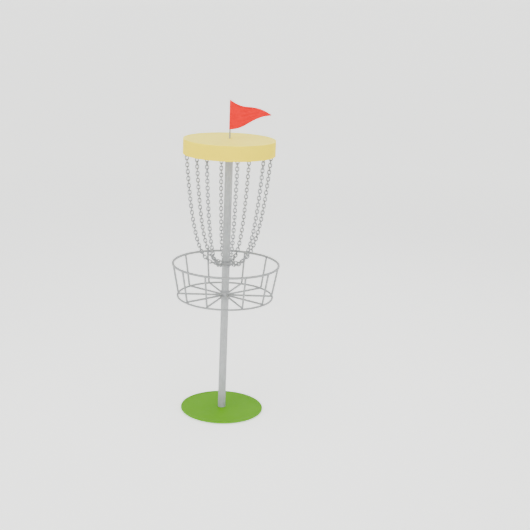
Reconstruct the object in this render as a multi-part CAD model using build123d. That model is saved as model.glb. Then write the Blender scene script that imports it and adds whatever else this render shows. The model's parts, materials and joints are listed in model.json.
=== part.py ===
from build123d import *
import os
from math import asin, asinh, atan2, atanh, cos, cosh, degrees, pi, sin, sinh, sqrt, tan

# A free-standing disc golf basket: a round base plate carries a two-piece pole; the pole carries a
# wire tray and, above it, a chain support under a sheet-metal band.  Eight chains hang from the
# support to one ring round the pole, and a pennant stands on top.
# Millimetres, +Z up.  The origin is on the ground, on the pole's axis.  The flag flies towards +X.

# ---- driving dimensions ----
RIM_HEIGHT = 800.0  # centreline of the tray's rim above the ground
RIM_RADIUS = 272.7  # centreline
RIM_ROD = 12.0
FLOOR_HEIGHT = 633.0  # centreline of the tray's floor rods
CORNER_RADIUS = 242.0  # where a rib's floor and wall lines would meet
HALF_RIB_ANGLES = [0, 38, 68.5, 111.5, 142]  # degrees from +X; the same again half a turn on
RIB_ROD = 10.0
RIB_BEND = 12.0
WELD_SINK = 0.5  # how far the floor ring is sunk into each rib at its weld

BASE_RADIUS = 217.5
BASE_THICKNESS = 6.0
FOOT_COUNT = 6
FOOT_HEIGHT = 4.0
FOOT_RADIUS = 16.0
FOOT_CIRCLE = 180.0

POLE_OD = 40.0
POLE_WALL = 2.0
SLIP = 0.2  # radial clearance of the pole's slip joints

COVER_HEIGHT = 1448.0  # top face of the cover
COVER_THICKNESS = 2.0
BAND_RADIUS = 232.8  # outside
BAND_DEPTH = 77.0  # cover's top face to the band's lower edge
BAND_SHEET = 1.5
COVER_RING_WIDTH = 26.0
BAND_HEM = 10.0

HALF_CHAIN_ANGLES = [8, 60, 101, 142]  # degrees from +X; the same again half a turn on
CHAIN_HANG_RADIUS = 217.0
LINKS_PER_CHAIN = 37
LINK_PITCH = 17.6
LINK_WIRE = 5.5
LINK_WIDTH = 21.0
LINK_PLAY = 0.15  # each link is this much longer inside, at each end, than its pitch needs
TWIST_LINKS = 7  # each chain turns to face front and side over this many links from each end
RING_RADIUS = 45.0  # centreline of the ring that gathers the chains
RING_WIRE = 6.0
RING_HEIGHT = 805.0
RING_COLLAR_RADIUS = 25.0
RING_COLLAR_HEIGHT = 22.0

ARM_THICKNESS = 4.0
ARM_DEPTH = 20.0
ARM_BOTTOM = 1414.0
HOOK_WIRE = 5.0
HOOK_LOOP = 7.5  # centreline radius of each loop of an S-hook
HOOK_HOLE = 11.0
HOOK_PLAY = 0.4

STAFF_DIAMETER = 8.0
STAFF_TOP = 1636.0
FLAG_TOP = 1643.5  # upper corner of the hoist
FLAG_HOIST = 148.0
FLAG_FLY = 204.0
FLAG_CLOTH = 1.2
FLAG_SWAY = 22.0  # sideways swing of the cloth at its tip
FLAG_LIFT = 10.0  # how far the wave carries the cloth's edges up and down
FLAG_TIP_RISE = 4.5  # tip above the middle of the hoist
FLAG_TIP = 4.0  # width of the blunt tip

# ---- sizes worked out from them ----
POLE_RADIUS = POLE_OD / 2
POLE_BORE = POLE_RADIUS - POLE_WALL
BASE_TOP = FOOT_HEIGHT + BASE_THICKNESS
COVER_UNDER = COVER_HEIGHT - COVER_THICKNESS
BAND_BOTTOM = COVER_HEIGHT - BAND_DEPTH
BAND_BORE = BAND_RADIUS - BAND_SHEET
RIB_ANGLES = HALF_RIB_ANGLES + [angle + 180 for angle in HALF_RIB_ANGLES]
CHAIN_ANGLES = HALF_CHAIN_ANGLES + [angle + 180 for angle in HALF_CHAIN_ANGLES]
NEXT_ANGLES = CHAIN_ANGLES[1:] + [CHAIN_ANGLES[0] + 360]
GAP_ANGLES = [(a + b) / 2 for a, b in zip(CHAIN_ANGLES, NEXT_ANGLES)]  # half-way between chains

# Tray hub: a sleeve with a thin web that is gripped between the two pole ends.
HUB_RADIUS = 25.0
HUB_HALF_HEIGHT = 21.0
WEB_THICKNESS = 3.0
WEB_BOTTOM = FLOOR_HEIGHT - 2 - WEB_THICKNESS / 2
WEB_TOP = WEB_BOTTOM + WEB_THICKNESS
COUPLING_BOTTOM = WEB_BOTTOM - 90
COUPLING_TOP = WEB_TOP + 96
COUPLING_WALL = 2.5

# Base spigot and its fixings
SPIGOT_RADIUS = POLE_BORE - SLIP
SPIGOT_HEIGHT = 120.0
POLE_SCREW_HEIGHTS = [BASE_TOP + 30, BASE_TOP + 85]
SCREW_M6 = 6.0
BOLT_M10 = 10.0

# Chain support head
HEAD_RADIUS = 30.0
HEAD_BOTTOM = ARM_BOTTOM - 6
HEAD_TOP = ARM_BOTTOM + ARM_DEPTH + 6
POLE_TOP = HEAD_TOP - 12
SOCKET_RADIUS = 7.0
SOCKET_BOTTOM = COVER_HEIGHT - 50
SOCKET_FLANGE = 13.0
SOCKET_FLANGE_HEIGHT = 1.6
STAFF_BOTTOM = SOCKET_BOTTOM + 4
TAB_WIDTH = 22.0
RIVET_BODY = 4.8
RIVET_HEAD = 8.0
HEAD_SCREW_ANGLES = [GAP_ANGLES[1], GAP_ANGLES[5]]
HEAD_SCREW_HEIGHT = HEAD_BOTTOM + 10
COLLAR_SCREW_ANGLE = GAP_ANGLES[1]
BAND_RIVET_HEIGHT = ARM_BOTTOM + ARM_DEPTH / 2
TAB_RIVET_OFFSET = 12.0
COVER_RIVET_CIRCLE = BAND_BORE - COVER_RING_WIDTH / 2
COUPLING_RIVET_HEIGHTS = [WEB_TOP + 36, WEB_TOP + 74]

# An S-hook hangs on the strip of arm below its hole, and its loops touch at HOOK_MIDDLE.
HOOK_WEB = 4.0  # arm left below the hole
HOOK_HOLE_HEIGHT = ARM_BOTTOM + HOOK_WEB + HOOK_HOLE / 2
HOOK_INNER = HOOK_LOOP - HOOK_WIRE / 2
HOOK_UPPER = ARM_BOTTOM + HOOK_WEB - sqrt(HOOK_INNER**2 - (ARM_THICKNESS / 2) ** 2) + HOOK_PLAY
HOOK_MIDDLE = HOOK_UPPER - HOOK_LOOP
CHAIN_TOP = HOOK_MIDDLE - HOOK_LOOP - HOOK_INNER + HOOK_PLAY

os.makedirs("parts", exist_ok=True)


def save(node, *solids):
    """Write one node: a single solid, or several as one compound."""
    shape = solids[0] if len(solids) == 1 else Compound(children=list(solids))
    export_step(shape, f"parts/{node}.step")


def cylinder(radius, bottom, top):
    """A solid cylinder on the pole's axis."""
    return Pos(0, 0, (bottom + top) / 2) * Cylinder(radius, top - bottom)


def tube(outer, inner, bottom, top, chamfer_size=0.5):
    """A tube on the pole's axis with its outer end edges broken."""
    body = cylinder(outer, bottom, top)
    rims = body.edges().filter_by(GeomType.CIRCLE)
    body = chamfer(rims, chamfer_size)
    return body - cylinder(inner, bottom - 1, top + 1)


def around(shape, angle):
    """Turn a shape about the pole's axis, in degrees."""
    return Rot(0, 0, angle) * shape


def rod_ring(radius, rod, height):
    """A closed ring of round rod about the pole's axis."""
    return Pos(0, 0, height) * Torus(radius, rod / 2)


def radial_hole(diameter, inner, outer, height, angle=90.0):
    """A cutter along a radius, from inner to outer, at a height."""
    length = outer - inner
    drill = Pos((inner + outer) / 2, 0, height) * Rot(0, 90, 0) * Cylinder(diameter / 2, length)
    return around(drill, angle)


def radial(shape, radius, height, angle=90.0):
    """Stand a fastener made along +Z on a radius: its head's seat at that radius, head outwards."""
    return around(Pos(radius, 0, height) * Rot(0, 90, 0) * shape, angle)


def dome(radius, height):
    """A shallow dome that stands on z = 0."""
    ball = (radius**2 + height**2) / (2 * height)
    cap = Pos(0, 0, height - ball) * Sphere(ball)
    return cap & (Pos(0, 0, height / 2) * Cylinder(radius + 1, height))


def rivet(body, head, grip, tail=2.5, head_height=2.0):
    """A blind rivet along -Z: a domed head on z = 0, a body through the grip and a swollen tail."""
    shank = Pos(0, 0, -(grip + tail) / 2) * Cylinder(body / 2, grip + tail)
    swell = Pos(0, 0, -grip - tail / 2) * Cylinder(body / 2 + 0.9, tail)
    return dome(head / 2, head_height) + shank + swell


def button_screw(thread, head, head_height, length):
    """A button-head screw along -Z with a hexagon socket in its head."""
    shank = Pos(0, 0, -length / 2) * Cylinder(thread / 2 - 0.05, length)
    socket = Pos(0, 0, head_height - 2) * extrude(RegularPolygon(thread / 3, 6), 3)
    return dome(head / 2, head_height) + shank - socket


# ---- base ----
def base_plate():
    plate = cylinder(BASE_RADIUS, FOOT_HEIGHT, BASE_TOP)
    rims = plate.edges().filter_by(GeomType.CIRCLE)
    plate = fillet(rims, 1.8)
    sink = BOLT_M10 / 2 + 5.2
    countersink = Pos(0, 0, FOOT_HEIGHT + 2.5) * Cone(sink, sink - 5, 5)
    return plate - countersink - cylinder(BOLT_M10 / 2 + 0.2, 0, BASE_TOP + 1)


def base_feet():
    foot = Cylinder(FOOT_RADIUS, FOOT_HEIGHT)
    foot = chamfer(foot.edges().filter_by(GeomType.CIRCLE).sort_by(Axis.Z)[0], 1.0)
    places = PolarLocations(FOOT_CIRCLE, FOOT_COUNT)
    return [loc * Pos(0, 0, FOOT_HEIGHT / 2) * foot for loc in places]


def base_spigot():
    spigot = cylinder(SPIGOT_RADIUS, BASE_TOP, BASE_TOP + SPIGOT_HEIGHT)
    spigot = chamfer(spigot.edges().filter_by(GeomType.CIRCLE).sort_by(Axis.Z)[-1], 2.0)
    spigot -= cylinder(BOLT_M10 / 2, BASE_TOP - 1, BASE_TOP + 45)
    for height in POLE_SCREW_HEIGHTS:
        spigot -= radial_hole(SCREW_M6, 6, SPIGOT_RADIUS + 1, height)
    return spigot


def base_bolt():
    """A countersunk M10 bolt, up through the plate into the spigot, with a hexagon socket below."""
    head_bottom = FOOT_HEIGHT + 0.3
    head_radius = BOLT_M10 / 2 + 4.8
    shank_radius = BOLT_M10 / 2 - 0.1
    head_height = head_radius - shank_radius
    head = Pos(0, 0, head_bottom + head_height / 2) * Cone(head_radius, shank_radius, head_height)
    shank = cylinder(shank_radius, head_bottom + head_height, BASE_TOP + 38)
    socket = Pos(0, 0, head_bottom - 1) * extrude(RegularPolygon(3.4, 6), 4.5)
    return head + shank - socket


def lower_pole():
    pole = tube(POLE_RADIUS, POLE_BORE, BASE_TOP, WEB_BOTTOM)
    for height in POLE_SCREW_HEIGHTS:
        pole -= radial_hole(SCREW_M6 + 0.5, POLE_BORE - 2, POLE_RADIUS + 2, height)
    return pole


def pole_screws():
    screw = button_screw(SCREW_M6, 11.0, 3.3, 13.0)
    return [radial(screw, POLE_RADIUS + 0.02, height) for height in POLE_SCREW_HEIGHTS]


# ---- tray ----
def rib_path():
    """Radius and height of the three corners of a rib's line: hub, floor corner, rim."""
    return [
        (HUB_RADIUS - 4, FLOOR_HEIGHT),
        (CORNER_RADIUS, FLOOR_HEIGHT),
        (RIM_RADIUS, RIM_HEIGHT),
    ]


def floor_ring_line():
    """Radius and height of the floor ring's centreline, nested against the outside of the bends."""
    lean = atan2(RIM_HEIGHT - FLOOR_HEIGHT, RIM_RADIUS - CORNER_RADIUS)
    centre_radius = CORNER_RADIUS - RIB_BEND / tan((pi - lean) / 2)
    downward = (pi - lean) / 2
    reach = RIB_BEND + RIB_ROD - WELD_SINK
    height = FLOOR_HEIGHT + RIB_BEND - reach * sin(downward)
    return centre_radius + reach * cos(downward), height


def tray_hub():
    hub = cylinder(HUB_RADIUS, FLOOR_HEIGHT - HUB_HALF_HEIGHT, FLOOR_HEIGHT + HUB_HALF_HEIGHT)
    hub = chamfer(hub.edges().filter_by(GeomType.CIRCLE), 1.0)
    socket = POLE_RADIUS + SLIP
    hub -= cylinder(socket, 0, WEB_BOTTOM)
    hub -= cylinder(socket, WEB_TOP, COVER_HEIGHT)
    return hub - cylinder(POLE_BORE + SLIP, 0, COVER_HEIGHT)


def rib():
    """One bent rod: a floor spoke from the hub, a bend and a wall upright to the rim, along +X."""
    corners = [Vector(r, 0, z) for r, z in rib_path()]
    line = FilletPolyline(*corners, radius=RIB_BEND)
    section = Plane(line @ 0, z_dir=line % 0) * Circle(RIB_ROD / 2)
    rod = sweep(section, path=line)
    ring_radius, ring_height = floor_ring_line()
    rod -= cylinder(HUB_RADIUS, 0, COVER_HEIGHT)
    rod -= rod_ring(RIM_RADIUS, RIM_ROD, RIM_HEIGHT)
    return rod - rod_ring(ring_radius, RIB_ROD, ring_height)


# ---- upper pole and chain support ----
def upper_pole():
    pole = tube(POLE_RADIUS, POLE_BORE, WEB_TOP, POLE_TOP)
    for height in COUPLING_RIVET_HEIGHTS:
        pole -= radial_hole(RIVET_BODY + 0.2, POLE_BORE - 2, POLE_RADIUS + 2, height)
    return pole


def pole_coupling():
    outer = POLE_BORE - SLIP
    sleeve = tube(outer, outer - COUPLING_WALL, COUPLING_BOTTOM, COUPLING_TOP, 1.0)
    for height in COUPLING_RIVET_HEIGHTS:
        sleeve -= radial_hole(RIVET_BODY + 0.2, outer - COUPLING_WALL - 2, outer + 2, height)
    return sleeve


def coupling_rivets():
    grip = POLE_WALL + SLIP + COUPLING_WALL + 0.45
    pin = rivet(RIVET_BODY, RIVET_HEAD, grip)
    return [radial(pin, POLE_RADIUS + 0.02, height) for height in COUPLING_RIVET_HEIGHTS]


def head_hub():
    hub = cylinder(HEAD_RADIUS, HEAD_BOTTOM, HEAD_TOP)
    hub = chamfer(hub.edges().filter_by(GeomType.CIRCLE), 1.5)
    hub -= cylinder(POLE_RADIUS + SLIP, 0, POLE_TOP)
    hub -= cylinder(SOCKET_RADIUS + 0.1, 0, COVER_HEIGHT)
    for angle in HEAD_SCREW_ANGLES:
        drill = SCREW_M6 + 0.1
        hub -= radial_hole(drill, POLE_RADIUS - 1, HEAD_RADIUS + 1, HEAD_SCREW_HEIGHT, angle)
    return hub


def ring_collar():
    """The sleeve on the pole that carries the ring the chains end on."""
    half = RING_COLLAR_HEIGHT / 2
    bore = POLE_RADIUS + SLIP
    collar = tube(RING_COLLAR_RADIUS, bore, RING_HEIGHT - half, RING_HEIGHT + half, 1.0)
    drill = SCREW_M6 + 0.1
    return collar - radial_hole(
        drill, POLE_RADIUS - 1, RING_COLLAR_RADIUS + 1, RING_HEIGHT, COLLAR_SCREW_ANGLE
    )


def ring_spokes():
    """Short rods that join the collar to the ring, half-way between chains."""
    inner, outer = RING_COLLAR_RADIUS - 1, RING_RADIUS
    rod = Pos((inner + outer) / 2, 0, RING_HEIGHT) * Rot(0, 90, 0) * Cylinder(
        RING_WIRE / 2 - 0.25, outer - inner
    )
    rod -= cylinder(RING_COLLAR_RADIUS, 0, COVER_HEIGHT)
    rod -= rod_ring(RING_RADIUS, RING_WIRE, RING_HEIGHT)
    return [around(rod, angle) for angle in GAP_ANGLES[::2]]


def set_screw(outside, height, angle):
    """A socket set screw from the outside of a hub or collar down to the pole."""
    length = outside - POLE_RADIUS - 0.6
    screw = Pos(0, 0, -length / 2) * Cylinder(SCREW_M6 / 2, length)
    screw -= Pos(0, 0, -2) * extrude(RegularPolygon(1.7, 6), 3)
    return radial(screw, POLE_RADIUS + 0.05 + length, height, angle)


def set_screws():
    screws = [set_screw(HEAD_RADIUS, HEAD_SCREW_HEIGHT, angle) for angle in HEAD_SCREW_ANGLES]
    return screws + [set_screw(RING_COLLAR_RADIUS, RING_HEIGHT, COLLAR_SCREW_ANGLE)]


def support_arm():
    """A flat bar on edge along +X, with a hook hole and a tab bent round for the band."""
    middle = ARM_BOTTOM + ARM_DEPTH / 2
    reach = BAND_BORE - 0.1
    bar = Pos(reach / 2, 0, middle) * Box(reach, ARM_THICKNESS, ARM_DEPTH)
    tab_y = (TAB_WIDTH - ARM_THICKNESS / 2) / 2
    tab_width = TAB_WIDTH + ARM_THICKNESS / 2
    tab = Pos(reach - ARM_THICKNESS / 2, tab_y, middle) * Box(ARM_THICKNESS, tab_width, ARM_DEPTH)
    arm = (bar + tab) & cylinder(reach, ARM_BOTTOM, ARM_BOTTOM + ARM_DEPTH)
    arm -= cylinder(HEAD_RADIUS, 0, COVER_HEIGHT)
    hook_hole = Rot(90, 0, 0) * Cylinder(HOOK_HOLE / 2, 4 * ARM_THICKNESS)
    arm -= Pos(CHAIN_HANG_RADIUS, 0, HOOK_HOLE_HEIGHT) * hook_hole
    return arm - radial_hole(
        RIVET_BODY + 0.4, BAND_BORE - 10, BAND_RADIUS, BAND_RIVET_HEIGHT, tab_rivet_angle()
    )


def tab_rivet_angle():
    """Angle of a tab's rivet from its arm, in degrees."""
    return degrees(asin(TAB_RIVET_OFFSET / BAND_BORE))


def band_rivets():
    pin = rivet(RIVET_BODY, RIVET_HEAD, BAND_SHEET + ARM_THICKNESS + 0.6)
    turn = tab_rivet_angle()
    return [radial(pin, BAND_RADIUS, BAND_RIVET_HEIGHT, angle + turn) for angle in CHAIN_ANGLES]


def band():
    """The sheet-metal band: a rolled hoop with a folded hem below."""
    hem_bore = BAND_BORE - BAND_SHEET
    outline = [
        (BAND_RADIUS, BAND_BOTTOM),
        (BAND_RADIUS, COVER_UNDER),
        (BAND_BORE, COVER_UNDER),
        (BAND_BORE, BAND_BOTTOM + BAND_HEM),
        (hem_bore, BAND_BOTTOM + BAND_HEM),
        (hem_bore, BAND_BOTTOM),
    ]
    profile = make_face(Plane.XZ * Polyline(*outline, close=True))
    hoop = revolve(profile, Axis.Z)
    turn = tab_rivet_angle()
    for angle in CHAIN_ANGLES:
        hoop -= radial_hole(
            RIVET_BODY + 0.2, BAND_BORE - 3, BAND_RADIUS + 3, BAND_RIVET_HEIGHT, angle + turn
        )
    return hoop


def cover_ring():
    """The flat ring welded inside the top of the band, which the cover is riveted to."""
    ring = cylinder(BAND_BORE, COVER_UNDER - BAND_SHEET, COVER_UNDER)
    ring -= cylinder(BAND_BORE - COVER_RING_WIDTH, 0, COVER_HEIGHT)
    for angle in GAP_ANGLES:
        ring -= cover_rivet_hole(angle)
    return ring


def cover_rivet_hole(angle):
    """A cutter for one cover rivet."""
    drill = Pos(COVER_RIVET_CIRCLE, 0, COVER_UNDER) * Cylinder(RIVET_BODY / 2 + 0.1, 12)
    return around(drill, angle)


def top_cover():
    cover = cylinder(BAND_RADIUS, COVER_UNDER, COVER_HEIGHT)
    cover = fillet(cover.edges().filter_by(GeomType.CIRCLE).sort_by(Axis.Z)[-1], 1.2)
    cover -= cylinder(SOCKET_RADIUS + 0.1, 0, COVER_HEIGHT + 5)
    for angle in GAP_ANGLES:
        cover -= cover_rivet_hole(angle)
    return cover


def cover_rivets():
    pin = rivet(RIVET_BODY, RIVET_HEAD, COVER_THICKNESS + BAND_SHEET + 0.1, head_height=1.6)
    seat = Pos(COVER_RIVET_CIRCLE, 0, COVER_HEIGHT) * pin
    return [around(seat, angle) for angle in GAP_ANGLES]


# ---- chains ----
def catenary(inner, outer, length):
    """Scale, lowest radius and base height of a chain of this length hung between two points."""
    across, drop = outer[0] - inner[0], outer[1] - inner[1]
    want = sqrt(length**2 - drop**2)
    low, high = across / 20, across * 20
    for _ in range(60):
        scale = sqrt(low * high)
        if 2 * scale * sinh(across / (2 * scale)) > want:
            low = scale
        else:
            high = scale
    lowest = (inner[0] + outer[0]) / 2 - scale * atanh(drop / length)
    return scale, lowest, inner[1] - scale * cosh((inner[0] - lowest) / scale)


def chain_joints():
    """Radius and height of the contact points between links, from the hook to the ring."""
    outer = (CHAIN_HANG_RADIUS, CHAIN_TOP)
    inner = (RING_RADIUS, RING_HEIGHT)
    for _ in range(12):
        scale, lowest, base = catenary(inner, outer, LINKS_PER_CHAIN * LINK_PITCH)
        slope = sinh((inner[0] - lowest) / scale)
        reach = (RING_WIRE / 2 + HOOK_PLAY) / sqrt(1 + slope**2)
        inner = (RING_RADIUS - reach, RING_HEIGHT - reach * slope)
    start = scale * sinh((outer[0] - lowest) / scale)
    end = scale * slope
    points = []
    for i in range(LINKS_PER_CHAIN + 1):
        arc = start + (end - start) * i / LINKS_PER_CHAIN
        radius = lowest + scale * asinh(arc / scale)
        points.append((radius, base + scale * cosh((radius - lowest) / scale)))
    return points


def chain_link():
    """One oval link in the XZ plane, its long axis along X, centred on the origin."""
    wire = LINK_WIRE / 2
    bow = (LINK_WIDTH - LINK_WIRE) / 2
    inside = LINK_PITCH + 2 * LINK_PLAY
    straight = inside + LINK_WIRE - 2 * bow
    half_ring = Torus(bow, wire, major_angle=180, align=None)
    ends = [
        Pos(straight / 2, 0, 0) * Rot(0, 0, -90) * half_ring,
        Pos(-straight / 2, 0, 0) * Rot(0, 0, 90) * half_ring,
    ]
    side = Rot(0, 90, 0) * Cylinder(wire, straight)
    sides = [Pos(0, bow, 0) * side, Pos(0, -bow, 0) * side]
    return Rot(90, 0, 0) * (ends[0] + ends[1] + sides[0] + sides[1])


def chain(link, angle):
    """One chain: by turns a link in its radial plane and a link across it, with a slight twist."""
    joints = chain_joints()
    facing = (angle + 45) % 90 - 45
    links = []
    for i, ((r0, z0), (r1, z1)) in enumerate(zip(joints, joints[1:])):
        pitch_angle = degrees(atan2(z1 - z0, r1 - r0))
        share = min(i, LINKS_PER_CHAIN - 1 - i, TWIST_LINKS) / TWIST_LINKS
        twist = 90 * (i % 2) + facing * share
        place = Pos((r0 + r1) / 2, 0, (z0 + z1) / 2) * Rot(0, -pitch_angle, 0) * Rot(twist, 0, 0)
        links.append(around(place * link, angle))
    return links


def s_hook():
    """A closed S of wire across the +X radius: the upper loop in the arm, the lower in the chain."""
    loop = Torus(HOOK_LOOP, HOOK_WIRE / 2, major_angle=300, align=None)
    upper = Pos(0, HOOK_LOOP, 0) * Rot(0, 0, -90) * loop
    lower = Rot(0, 0, 180) * upper
    place = Pos(CHAIN_HANG_RADIUS, 0, HOOK_MIDDLE) * Rot(0, 0, 90) * Rot(90, 0, 0)
    return place * (upper + lower)


# ---- flag ----
def flag_socket():
    socket = cylinder(SOCKET_RADIUS, SOCKET_BOTTOM, COVER_HEIGHT + SOCKET_FLANGE_HEIGHT)
    flange = cylinder(SOCKET_FLANGE, COVER_HEIGHT, COVER_HEIGHT + SOCKET_FLANGE_HEIGHT)
    flange = chamfer(flange.edges().filter_by(GeomType.CIRCLE).sort_by(Axis.Z)[-1], 0.8)
    return socket + flange - cylinder(STAFF_DIAMETER / 2 + SLIP, STAFF_BOTTOM, COVER_HEIGHT + 9)


def flag_staff():
    radius = STAFF_DIAMETER / 2
    rod = cylinder(radius, STAFF_BOTTOM, STAFF_TOP)
    ends = rod.edges().filter_by(GeomType.CIRCLE).sort_by(Axis.Z)
    rod = fillet(ends[-1], radius - 0.6)
    return chamfer(rod.edges().filter_by(GeomType.CIRCLE).sort_by(Axis.Z)[0], 1.0)


def flag():
    """The pennant at rest in a breeze: a closed sleeve on the staff and a waving triangle."""
    sleeve_bore = STAFF_DIAMETER / 2 + 0.3
    sleeve_radius = sleeve_bore + FLAG_CLOTH
    bottom = FLAG_TOP - FLAG_HOIST
    tip = (FLAG_TOP + bottom) / 2 + FLAG_TIP_RISE
    sleeve = cylinder(sleeve_radius, bottom, FLAG_TOP)
    pocket = cylinder(sleeve_bore, bottom - 1, STAFF_TOP + 0.3)

    steps = 8
    shares = [i / steps for i in range(steps + 1)]
    start = sleeve_bore + FLAG_CLOTH / 2

    def sway(share):
        return FLAG_SWAY * share * sin(2 * pi * share)

    near = [(start + s * (FLAG_FLY - start), sway(s) - FLAG_CLOTH / 2) for s in shares]
    far = [(x, y + FLAG_CLOTH) for x, y in reversed(near)]
    with_ends = Spline(*near) + Line(near[-1], far[0]) + Spline(*far) + Line(far[-1], near[0])
    ribbon = Pos(0, 0, bottom - 30) * extrude(make_face(with_ends), FLAG_HOIST + 60)

    def edge_line(corner, tip_corner):
        """One long edge, from the outside of the sleeve to the tip, carried up and down by the wave."""
        points = []
        for s in shares:
            height = corner + s * (tip_corner - corner) - FLAG_LIFT * sin(2 * pi * s)
            points.append((-sleeve_radius + s * (FLAG_FLY + sleeve_radius), height))
        return points

    upper = edge_line(FLAG_TOP, tip + FLAG_TIP / 2)
    lower = edge_line(bottom, tip - FLAG_TIP / 2)
    edge = Spline(*upper) + Line(upper[-1], lower[-1])
    edge = edge + Spline(*reversed(lower)) + Line(lower[0], upper[0])
    triangle = extrude(make_face(Plane.XZ * edge), 40, both=True)
    return ((sleeve + ribbon) & triangle) - pocket


# ---- write the nodes ----
save("base_plate", base_plate())
save("base_feet", *base_feet())
save("base_spigot", base_spigot())
save("base_bolt", base_bolt())
save("lower_pole", lower_pole())
save("pole_screws", *pole_screws())

save("tray_hub", tray_hub())
save("rim_ring", rod_ring(RIM_RADIUS, RIM_ROD, RIM_HEIGHT))
floor_radius, floor_height = floor_ring_line()
save("floor_ring", rod_ring(floor_radius, RIB_ROD, floor_height))
one_rib = rib()
for i, angle in enumerate(RIB_ANGLES):
    save(f"rib_{i + 1:02d}", around(one_rib, angle))

save("upper_pole", upper_pole())
save("pole_coupling", pole_coupling())
save("coupling_rivets", *coupling_rivets())
save("head_hub", head_hub())
save("ring_collar", ring_collar())
save("ring_spokes", *ring_spokes())
save("set_screws", *set_screws())
save("band", band())
save("band_rivets", *band_rivets())
save("cover_ring", cover_ring())
save("top_cover", top_cover())
save("cover_rivets", *cover_rivets())
save("flag_socket", flag_socket())
save("chain_ring", rod_ring(RING_RADIUS, RING_WIRE, RING_HEIGHT))

one_arm, one_hook, one_link = support_arm(), s_hook(), chain_link()
for i, angle in enumerate(CHAIN_ANGLES):
    save(f"support_arm_{i + 1}", around(one_arm, angle))
    save(f"s_hook_{i + 1}", around(one_hook, angle))
    save(f"chain_{i + 1}", *chain(one_link, angle))

save("flag_staff", flag_staff())
save("flag", flag())
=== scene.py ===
import json
import math
import random

import bpy
from mathutils import Matrix, Vector

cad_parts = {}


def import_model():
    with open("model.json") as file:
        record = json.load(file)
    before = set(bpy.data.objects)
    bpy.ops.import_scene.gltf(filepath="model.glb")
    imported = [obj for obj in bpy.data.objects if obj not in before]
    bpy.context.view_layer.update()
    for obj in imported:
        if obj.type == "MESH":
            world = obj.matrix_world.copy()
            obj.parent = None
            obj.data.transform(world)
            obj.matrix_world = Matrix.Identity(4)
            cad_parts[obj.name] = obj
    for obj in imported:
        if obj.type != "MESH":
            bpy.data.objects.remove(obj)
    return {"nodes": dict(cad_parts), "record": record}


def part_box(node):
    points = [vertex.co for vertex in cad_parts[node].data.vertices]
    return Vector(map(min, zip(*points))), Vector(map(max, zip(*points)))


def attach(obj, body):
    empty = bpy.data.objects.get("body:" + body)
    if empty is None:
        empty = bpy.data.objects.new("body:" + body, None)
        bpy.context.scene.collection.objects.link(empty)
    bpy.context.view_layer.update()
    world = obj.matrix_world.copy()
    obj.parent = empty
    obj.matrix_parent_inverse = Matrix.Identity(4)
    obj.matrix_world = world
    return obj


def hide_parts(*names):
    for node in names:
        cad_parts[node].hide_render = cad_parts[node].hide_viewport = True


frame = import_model()
NODES = frame["nodes"]
SLOT_OF = {s["node"]: s["material_slot"] for s in frame["record"]["subparts"]}
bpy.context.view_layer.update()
RANDOM = random.Random(7)

# Directions of the welded pieces round the pole. Ribs and arms come again half a turn on.
RIB_ANGLES = [math.radians(a + turn) for turn in (0, 180) for a in (0, 38, 68.5, 111.5, 142)]
ARM_ANGLES = [math.radians(a + turn) for turn in (0, 180) for a in (8, 60, 101, 142)]
SPOKE_ANGLES = [math.radians(a) for a in (34, 121.5, 214, 301.5)]

# Weld beads, metres
RIM_BEAD = 0.0013
HUB_BEAD = 0.0014
SEAT_BEAD = 0.0016
COLLAR_BEAD = 0.0011
CHAIN_RING_BEAD = 0.001
ARM_BEAD = 0.0013
ARM_BEAD_STEPS = 9

# The pennant, metres
SLEEVE = 0.0046  # radius of the sleeve round the staff
CLOTH = 0.0006
HEM = 0.007
HEM_THICKNESS = 0.0013
SEAM_REACH = 0.0135  # how far the sleeve's end laps back along the cloth
BILLOW = 0.022
RIPPLE = 0.0035
EDGE_LIFT = 0.010
TIP_RISE = 0.0045
HALF_TIP = 0.002
PULL = 0.0016
THREAD_PITCH = 0.0011

# Nearly all of a noise texture's values lie between these.
NOISE_LOW, NOISE_HIGH = 0.25, 0.75


# ---- materials ----
def linear(r, g, b):
    """An sRGB colour, 0 to 255, as a linear RGBA value."""

    def one(c):
        c /= 255
        return c / 12.92 if c <= 0.04045 else ((c + 0.055) / 1.055) ** 2.4

    return (one(r), one(g), one(b), 1.0)


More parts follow.
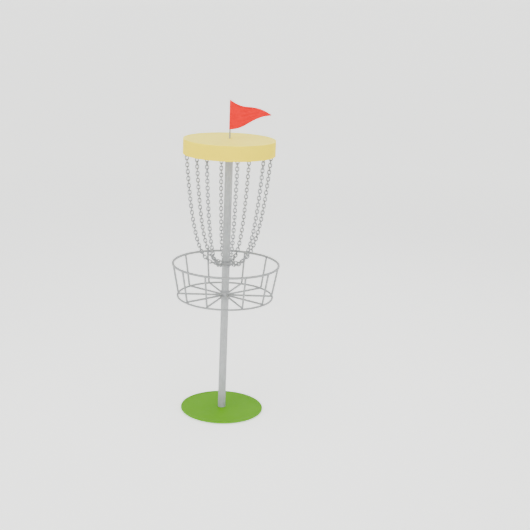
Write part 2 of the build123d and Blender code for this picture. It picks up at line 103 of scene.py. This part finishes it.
class Material:
    """A Principled material with small helpers for procedural detail in object coordinates."""

    def __init__(self, name, colour, metallic, roughness):
        self.mat = bpy.data.materials.new(name)
        self.mat.use_nodes = True
        self.tree = self.mat.node_tree
        self.bsdf = self.tree.nodes["Principled BSDF"]
        self.put("Base Color", colour)
        self.put("Metallic", metallic)
        self.put("Roughness", roughness)
        self.colour = colour
        self.coords = self.tree.nodes.new("ShaderNodeTexCoord").outputs["Object"]

    def put(self, socket, value):
        self.bsdf.inputs[socket].default_value = value

    def link(self, source, target):
        self.tree.links.new(source, target)

    def noise(self, scale, detail=3.0):
        node = self.tree.nodes.new("ShaderNodeTexNoise")
        node.inputs["Scale"].default_value = scale
        node.inputs["Detail"].default_value = detail
        self.link(self.coords, node.inputs["Vector"])
        return node.outputs["Fac"]

    def cells(self, scale):
        """A random value for each cell of a Voronoi pattern."""
        node = self.tree.nodes.new("ShaderNodeTexVoronoi")
        node.inputs["Scale"].default_value = scale
        self.link(self.coords, node.inputs["Vector"])
        split = self.tree.nodes.new("ShaderNodeSeparateColor")
        self.link(node.outputs["Color"], split.inputs["Color"])
        return split.outputs["Red"]

    def spread(self, value, low, high):
        """Stretch a noise value to run from low to high."""
        node = self.tree.nodes.new("ShaderNodeMapRange")
        node.inputs["From Min"].default_value = NOISE_LOW
        node.inputs["From Max"].default_value = NOISE_HIGH
        node.inputs["To Min"].default_value = low
        node.inputs["To Max"].default_value = high
        self.link(value, node.inputs["Value"])
        return node.outputs["Result"]

    def vary_colour(self, value, low, high):
        """Multiply the colour by a factor from low to high."""
        node = self.tree.nodes.new("ShaderNodeMix")
        node.data_type = "RGBA"
        node.blend_type = "MULTIPLY"
        node.inputs["Factor"].default_value = 1.0
        node.inputs["A"].default_value = self.colour
        grey = self.tree.nodes.new("ShaderNodeCombineColor")
        factor = self.spread(value, low, high)
        for channel in ("Red", "Green", "Blue"):
            self.link(factor, grey.inputs[channel])
        self.link(grey.outputs["Color"], node.inputs["B"])
        self.link(node.outputs["Result"], self.bsdf.inputs["Base Color"])

    def vary_roughness(self, value, low, high):
        self.link(self.spread(value, low, high), self.bsdf.inputs["Roughness"])

    def bump(self, value, distance, strength):
        node = self.tree.nodes.new("ShaderNodeBump")
        node.inputs["Distance"].default_value = distance
        node.inputs["Strength"].default_value = strength
        self.link(value, node.inputs["Height"])
        self.link(node.outputs["Normal"], self.bsdf.inputs["Normal"])


def galvanised(name, colour, grain, metallic=0.35, rough=(0.45, 0.6)):
    """Dull zinc on steel, with a spangle of flat cells of slightly different greys."""
    made = Material(name, colour, metallic, sum(rough) / 2)
    made.put("Specular IOR Level", 0.25)
    cells = made.cells(grain)
    made.vary_colour(cells, 0.93, 1.04)
    made.vary_roughness(cells, *rough)
    made.bump(made.noise(1400.0, 4.0), 0.00004, 0.5)
    return made.mat


def powder_coat(name, colour):
    """Satin paint with a fine orange-peel surface."""
    made = Material(name, colour, 0.0, 0.56)
    made.vary_colour(made.noise(9.0, 4.0), 0.965, 1.02)
    made.vary_roughness(made.noise(40.0, 5.0), 0.5, 0.62)
    made.bump(made.noise(900.0, 2.0), 0.00006, 0.4)
    made.put("Specular IOR Level", 0.05)
    return made.mat


def rubber():
    made = Material("rubber", (0.018, 0.018, 0.018, 1), 0.0, 0.8)
    made.bump(made.noise(1200.0, 3.0), 0.0001, 0.5)
    return made.mat


def woven_nylon():
    """Red cloth with a fine weave across the flag's own UVs."""
    made = Material("red_nylon", linear(218, 0, 10), 0.0, 0.72)
    tree = made.tree
    uv = tree.nodes.new("ShaderNodeTexCoord").outputs["UV"]
    split = tree.nodes.new("ShaderNodeSeparateXYZ")
    made.link(uv, split.inputs["Vector"])

    def wave(axis):
        scaled = tree.nodes.new("ShaderNodeMath")
        scaled.operation = "MULTIPLY"
        scaled.inputs[1].default_value = 2 * math.pi / THREAD_PITCH
        made.link(split.outputs[axis], scaled.inputs[0])
        sine = tree.nodes.new("ShaderNodeMath")
        sine.operation = "SINE"
        made.link(scaled.outputs[0], sine.inputs[0])
        return sine.outputs[0]

    weave = tree.nodes.new("ShaderNodeMath")
    weave.operation = "MULTIPLY"
    made.link(wave("X"), weave.inputs[0])
    made.link(wave("Y"), weave.inputs[1])
    made.bump(weave.outputs[0], 0.00012, 0.5)
    made.vary_colour(made.noise(30.0, 4.0), 0.92, 1.03)
    made.put("Specular IOR Level", 0.12)
    made.put("Sheen Weight", 0.05)
    made.put("Sheen Roughness", 0.5)
    return made.mat


MATERIALS = {
    "green_powder_coat": powder_coat("green_coat", linear(88, 152, 0)),
    "yellow_powder_coat": powder_coat("yellow_coat", linear(244, 218, 0)),
    "pale_yellow_powder_coat": powder_coat("pale_yellow_coat", linear(255, 238, 84)),
    "galvanised_tube": galvanised("galvanised_tube", linear(158, 160, 161), 70.0),
    "galvanised_rod": galvanised("galvanised_rod", linear(148, 150, 151), 160.0),
    "chain_zinc": galvanised("chain_zinc", linear(146, 148, 150), 300.0, 0.4, (0.4, 0.52)),
    "plain_steel": galvanised("plain_steel", linear(150, 152, 154), 120.0),
    "fastener_zinc": galvanised("fastener_zinc", linear(200, 202, 204), 400.0, 0.9, (0.3, 0.4)),
    "foot_rubber": rubber(),
    "socket_plastic": powder_coat("socket", linear(246, 222, 60)),
    "staff_steel": galvanised("staff_steel", linear(148, 150, 151), 200.0, 0.4, (0.35, 0.45)),
    "red_fabric": woven_nylon(),
}


def finish_with(obj, slot):
    """Give the object this slot's material and nothing else."""
    obj.data.materials.clear()
    obj.data.materials.append(MATERIALS[slot])


for node, obj in NODES.items():
    finish_with(obj, SLOT_OF[node])


def radius_of(node):
    """Outer radius of a round node on the pole's axis."""
    low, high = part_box(node)
    return (high[0] - low[0]) / 2


def middle_height(node):
    low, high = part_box(node)
    return (low[2] + high[2]) / 2


def rod_radius(ring):
    """Radius of the rod that a flat ring is bent from."""
    low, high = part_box(ring)
    return (high[2] - low[2]) / 2


def mesh_object(name, verts, faces, slot, body, smooth=True):
    mesh = bpy.data.meshes.new(name)
    mesh.from_pydata(verts, [], faces)
    mesh.update()
    mesh.shade_smooth() if smooth else mesh.shade_flat()
    obj = bpy.data.objects.new(name, mesh)
    bpy.context.scene.collection.objects.link(obj)
    finish_with(obj, slot)
    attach(obj, body)
    return obj


# ---- weld beads ----
def blob(verts, faces, centre, axes):
    """Add a small ellipsoid with the given half axes."""
    rings, sides = 4, 7
    start = len(verts)
    for i in range(rings + 1):
        polar = math.pi * i / rings
        for j in range(sides):
            turn = 2 * math.pi * j / sides
            local = (
                math.sin(polar) * math.cos(turn),
                math.sin(polar) * math.sin(turn),
                math.cos(polar),
            )
            verts.append(centre + sum((a * s for a, s in zip(axes, local)), Vector()))
    for i in range(rings):
        for j in range(sides):
            a, b = start + i * sides + j, start + i * sides + (j + 1) % sides
            faces.append((a, b, b + sides, a + sides))


def bead_round(verts, faces, centre, axis, radius, size, count=11):
    """A ring of overlapping weld blobs round a rod of this radius."""
    axis = axis.normalized()
    side = axis.orthogonal().normalized()
    across = axis.cross(side)
    for i in range(count):
        turn = 2 * math.pi * (i + 0.3 * RANDOM.random()) / count
        out = side * math.cos(turn) + across * math.sin(turn)
        along = axis.cross(out)
        grow = size * (0.85 + 0.3 * RANDOM.random())
        blob(verts, faces, centre + out * radius, (out * grow, along * grow * 1.5, axis * grow))


def polar(radius, angle, height):
    return Vector((radius * math.cos(angle), radius * math.sin(angle), height))


def tray_welds():
    """Beads at both ends of every rib, and two short ones where it crosses the floor ring."""
    verts, faces = [], []
    rim_rod, rod = rod_radius("rim_ring"), rod_radius("floor_ring")
    rim, rim_z = radius_of("rim_ring") - rim_rod, middle_height("rim_ring")
    ring, ring_z = radius_of("floor_ring") - rod, middle_height("floor_ring")
    floor_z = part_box("rib_01")[0][2] + rod
    corner = ring - 0.0025
    hub = radius_of("tray_hub")
    for angle in RIB_ANGLES:
        top = polar(rim, angle, rim_z)
        lean = (top - polar(corner, angle, floor_z)).normalized()
        under_rim = top - lean * (rim_rod - 0.0006)
        bead_round(verts, faces, under_rim, lean, rod - 0.0004, RIM_BEAD)
        outward = polar(1, angle, 0)
        at_hub = polar(hub + 0.0003, angle, floor_z)
        bead_round(verts, faces, at_hub, outward, rod - 0.0002, HUB_BEAD)
        side = Vector((-math.sin(angle), math.cos(angle), 0))
        seat = polar(ring - 0.55 * rod, angle, ring_z + 0.65 * rod)
        for way in (-1, 1):
            for step in range(3):
                place = seat + side * way * (0.85 * rod + SEAT_BEAD * step)
                grow = SEAT_BEAD - 0.0003 * step + 0.0002 * RANDOM.random()
                axes = (outward * grow, side * grow * 1.3, Vector((0, 0, grow)))
                blob(verts, faces, place, axes)
    return mesh_object("tray_welds", verts, faces, "galvanised_rod", "tray")


def ring_welds():
    """Beads at both ends of each short spoke that holds the chain ring."""
    verts, faces = [], []
    ring, height = radius_of("chain_ring") - 0.003, middle_height("chain_ring")
    collar = radius_of("ring_collar")
    for angle in SPOKE_ANGLES:
        outward = polar(1, angle, 0)
        at_collar = polar(collar + 0.0002, angle, height)
        at_ring = polar(ring - 0.0027, angle, height)
        bead_round(verts, faces, at_collar, outward, 0.0027, COLLAR_BEAD, 9)
        bead_round(verts, faces, at_ring, outward, 0.0025, CHAIN_RING_BEAD, 9)
    return mesh_object("chain_ring_welds", verts, faces, "galvanised_rod", "head")


def arm_welds():
    """Two vertical beads where each support arm meets the hub."""
    verts, faces = [], []
    low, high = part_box("support_arm_1")
    hub = radius_of("head_hub")
    bottom, length = low[2] + 0.0015, high[2] - low[2] - 0.003
    for angle in ARM_ANGLES:
        outward = polar(1, angle, 0)
        side = Vector((-math.sin(angle), math.cos(angle), 0))
        for way in (-1, 1):
            for step in range(ARM_BEAD_STEPS):
                height = bottom + length * step / (ARM_BEAD_STEPS - 1)
                place = polar(hub, angle, height) + side * way * 0.0026 + outward * 0.0004
                grow = ARM_BEAD + 0.0003 * RANDOM.random()
                axes = (outward * grow, side * grow, Vector((0, 0, grow * 1.2)))
                blob(verts, faces, place, axes)
    return mesh_object("arm_welds", verts, faces, "plain_steel", "head")


# ---- the pennant ----
def flag_plan(distance, fly):
    """Where the cloth is in plan after this distance along the fly from the staff's axis."""
    share = distance / fly
    billow = BILLOW * share * math.sin(2 * math.pi * share)
    ripple = RIPPLE * share * math.sin(5.3 * math.pi * share)
    return distance, billow + ripple


class FlagCut:
    """The outline of the pennant: heights of its two long edges at any place along the fly."""

    def __init__(self):
        low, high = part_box("flag")
        self.top, self.bottom = high[2] - 0.0006, low[2] + 0.0003
        self.fly = high[0] - 0.001
        self.tip = (self.top + self.bottom) / 2 + TIP_RISE

    def share(self, x):
        """0 at the outside of the sleeve, 1 at the tip."""
        return (x + SLEEVE) / (self.fly + SLEEVE)

    def edge(self, corner, half_tip, x):
        """Height of the long edge that runs from this corner of the hoist to the tip."""
        share = self.share(x)
        lift = -EDGE_LIFT * math.sin(2 * math.pi * share)
        return corner + share * (self.tip + half_tip - corner) + lift

    def upper(self, x):
        return self.edge(self.top, HALF_TIP, x)

    def lower(self, x):
        return self.edge(self.bottom, -HALF_TIP, x)


def pennant(cut):
    """One sheet of cloth: from its seam back round the staff, then out to the tip in a breeze."""
    start = SLEEVE + 0.0022
    path = []
    lap_steps = 6
    for i in range(lap_steps + 1):
        x = SEAM_REACH + (start - SEAM_REACH) * i / lap_steps
        path.append((x, flag_plan(x, cut.fly)[1] + 0.0008 + (0.0004 if i else 0.0)))
    open_angle = math.radians(28)
    turns = 26
    for i in range(turns + 1):
        a = open_angle + (2 * math.pi - 2 * open_angle) * i / turns
        path.append((SLEEVE * math.cos(a), SLEEVE * math.sin(a)))
    steps = 90
    reach = cut.fly - start
    outer = [flag_plan(start + reach * i / steps, cut.fly) for i in range(steps + 1)]
    path += outer
    run = [0.0]
    for a, b in zip(path, path[1:]):
        run.append(run[-1] + math.hypot(b[0] - a[0], b[1] - a[1]))
    rows = 28
    verts, faces, uvs = [], [], []
    for (x, y), along in zip(path, run):
        share = max((x - start) / reach, 0.0)
        low, high = cut.lower(x), cut.upper(x)
        for j in range(rows + 1):
            part = j / rows
            z = low + (high - low) * part
            pull = PULL * math.sin(9 * math.pi * part) * share * (1 - share) * 4
            verts.append(Vector((x, y + pull, z)))
            uvs.append((along, z))
    width = rows + 1
    for i in range(len(path) - 1):
        for j in range(rows):
            a = i * width + j
            faces.append((a, a + width, a + width + 1, a + 1))
    obj = mesh_object("pennant", verts, faces, "red_fabric", "pennant")
    layer = obj.data.uv_layers.new(name="cloth")
    for loop in obj.data.loops:
        layer.data[loop.index].uv = uvs[loop.vertex_index]
    area = sum(face.area for face in obj.data.polygons)
    solid = obj.modifiers.new("cloth thickness", "SOLIDIFY")
    solid.thickness = CLOTH
    solid.offset = 0.0
    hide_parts("flag")
    return obj, (cut.top - cut.bottom, run[-1]), area, outer


def ribbon(name, points, normals, widths, thickness):
    """A thin folded strip of cloth along these points, each with its own width vector."""
    verts, faces = [], []
    for point, normal, across in zip(points, normals, widths):
        half = normal * thickness / 2
        verts += [point + half, point + across + half, point + across - half, point - half]
    for i in range(len(points) - 1):
        for j in range(4):
            a, b = i * 4 + j, i * 4 + (j + 1) % 4
            faces.append((a, b, b + 4, a + 4))
    last = (len(points) - 1) * 4
    faces += [(3, 2, 1, 0), (last, last + 1, last + 2, last + 3)]
    return mesh_object(name, verts, faces, "red_fabric", "pennant")


def hems(cut, outer):
    """The turned hems along the top and bottom edges, a little proud of the cloth."""
    line = outer[:-3]
    made = []
    for name, edge, way in (("hem_top", cut.upper, -1), ("hem_bottom", cut.lower, 1)):
        points, normals, widths = [], [], []
        for k, (x, y) in enumerate(line):
            before, after = line[max(k - 1, 0)], line[min(k + 1, len(line) - 1)]
            along = Vector((after[0] - before[0], after[1] - before[1], 0)).normalized()
            normals.append(Vector((along.y, -along.x, 0)))
            room = (cut.upper(x) - cut.lower(x)) * 0.45
            widths.append(Vector((0, 0, way * min(HEM, room))))
            points.append(Vector((x, y, edge(x) - way * 0.0003)))
        made.append(ribbon(name, points, normals, widths, HEM_THICKNESS))
    return made


def sleeve_cap(cut):
    """The small slanted round of cloth that closes the sleeve over the staff's end."""
    verts, faces = [Vector((0, 0, cut.upper(0) + 0.0005))], []
    sides = 20
    for radius, rise in ((0.004, 0.0005), (SLEEVE + 0.0006, -0.0005), (SLEEVE + 0.0007, -0.004)):
        for i in range(sides):
            a = 2 * math.pi * i / sides
            x = radius * math.cos(a)
            verts.append(Vector((x, radius * math.sin(a), cut.upper(max(x, -SLEEVE)) + rise)))
    for i in range(sides):
        j = (i + 1) % sides
        faces.append((0, 1 + i, 1 + j))
        for level in (0, 1):
            a, b = 1 + level * sides, 1 + (level + 1) * sides
            faces.append((a + i, b + i, b + j, a + j))
    return mesh_object("sleeve_cap", verts, faces, "red_fabric", "pennant")


tray_welds()
ring_welds()
arm_welds()
flag_cut = FlagCut()
cloth, flat_size, area, outer = pennant(flag_cut)
trims = hems(flag_cut, outer) + [sleeve_cap(flag_cut)]


# ---- floor, lights and camera ----
def floor():
    """A round pale floor that curves up all round into a plain wall, the same from every side."""
    flat, bend, wall = 8.0, 4.0, 10.0
    bend_steps = 16
    curve = [(0.01, 0.0), (2.0, 0.0), (flat, 0.0)]
    for i in range(1, bend_steps + 1):
        a = math.pi / 2 * i / bend_steps
        curve.append((flat + bend * math.sin(a), bend - bend * math.cos(a)))
    curve.append((flat + bend, wall))
    sides = 96
    verts, faces = [], []
    for radius, height in curve:
        for j in range(sides):
            verts.append(polar(radius, 2 * math.pi * j / sides, height))
    for i in range(len(curve) - 1):
        for j in range(sides):
            a, b = i * sides + j, i * sides + (j + 1) % sides
            faces.append((a, a + sides, b + sides, b))
    faces.append(tuple(range(sides)))
    mesh = bpy.data.meshes.new("floor")
    mesh.from_pydata(verts, [], faces)
    mesh.shade_smooth()
    obj = bpy.data.objects.new("floor", mesh)
    bpy.context.scene.collection.objects.link(obj)
    made = Material("backdrop", (0.93, 0.935, 0.92, 1), 0.0, 0.7)
    made.vary_roughness(made.noise(3.0, 3.0), 0.65, 0.75)
    made.put("Emission Color", (1.0, 1.0, 0.985, 1))
    made.put("Emission Strength", 0.9)
    obj.data.materials.append(made.mat)


def area_light(name, place, target, size, power):
    data = bpy.data.lights.new(name, "AREA")
    data.shape = "RECTANGLE"
    data.size, data.size_y = size
    data.energy = power
    obj = bpy.data.objects.new(name, data)
    obj.location = place
    obj.rotation_euler = (Vector(target) - Vector(place)).to_track_quat("-Z", "Y").to_euler()
    bpy.context.scene.collection.objects.link(obj)


def world():
    made = bpy.data.worlds.new("studio")
    made.use_nodes = True
    back = made.node_tree.nodes["Background"]
    back.inputs["Color"].default_value = (0.97, 0.985, 1.0, 1)
    back.inputs["Strength"].default_value = 0.3
    bpy.context.scene.world = made


def camera():
    """The camera stands in front, a little above the basket, slightly turned and rolled."""
    yaw, pitch, roll = 0.0389, 0.2642, 0.0408  # radians
    out = math.cos(pitch)
    ahead = Vector((math.sin(yaw) * out, math.cos(yaw) * out, -math.sin(pitch)))
    level = Vector((math.cos(yaw), -math.sin(yaw), 0))
    up = level.cross(ahead)
    right = level * math.cos(roll) + up * math.sin(roll)
    top = up * math.cos(roll) - level * math.sin(roll)
    data = bpy.data.cameras.new("camera")
    data.sensor_width = 36.0
    data.lens = 70.7
    data.clip_end = 60.0
    obj = bpy.data.objects.new("camera", data)
    turn = Matrix((right, top, -ahead)).transposed().to_4x4()
    obj.matrix_world = Matrix.Translation((0.0, -5.192, 2.206)) @ turn
    bpy.context.scene.collection.objects.link(obj)
    bpy.context.scene.camera = obj


# Name, place, target, size and power of each light
LIGHTS = (
    ("key", (-2.6, -3.2, 3.6), (0, 0, 0.9), (2.4, 2.4), 74),
    ("fill", (3.4, -2.6, 2.2), (0, 0, 0.9), (2.0, 2.6), 15),
    ("rim", (1.6, 2.6, 3.0), (0, 0, 1.1), (2.0, 1.2), 30),
    ("top", (0.0, -0.6, 4.2), (0, 0, 1.4), (2.6, 2.6), 105),
)

floor()
world()
for light in LIGHTS:
    area_light(*light)
camera()
